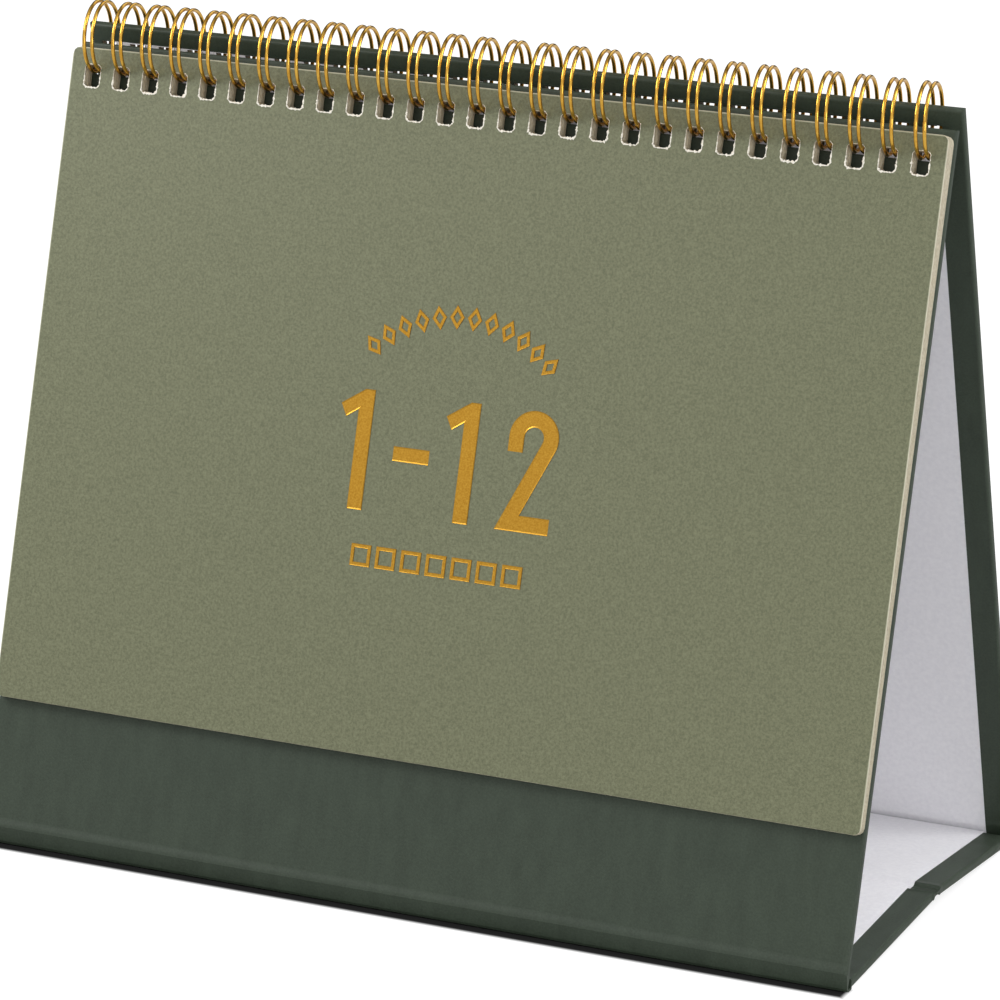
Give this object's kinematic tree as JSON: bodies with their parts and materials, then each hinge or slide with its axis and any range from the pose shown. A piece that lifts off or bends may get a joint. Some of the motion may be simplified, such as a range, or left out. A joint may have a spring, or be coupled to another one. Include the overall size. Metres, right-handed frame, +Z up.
{
  "type": "standing desk calendar",
  "caption": "Desk calendar: a wrapped-board tent stand with a wire-bound pad of month sheets hung over its front panel.",
  "frame": {"origin": "on the table, below the middle of the stand", "axes": "+Z up, X along the width, the pad faces -Y"},
  "size_m": [0.242, 0.1202, 0.2141],
  "materials": {
    "green_paper": "dark green fine-grained covering paper",
    "liner_paper": "plain pale lining paper",
    "greyboard": "grey recycled board",
    "cream_paper": "uncoated cream month sheets",
    "sage_card": "pearly sage green cover card",
    "gold_wire": "steel wire with a pale gold coating"
  },
  "bodies": {
    "root": {"cover_paper": "green_paper", "liner_sheet": "liner_paper", "front_board": "greyboard", "back_board": "greyboard", "base_front_board": "greyboard", "base_rear_board": "greyboard", "page_block": "cream_paper", "front_cover": "sage_card", "binding_wire": "gold_wire"}
  },
  "joints": []
}
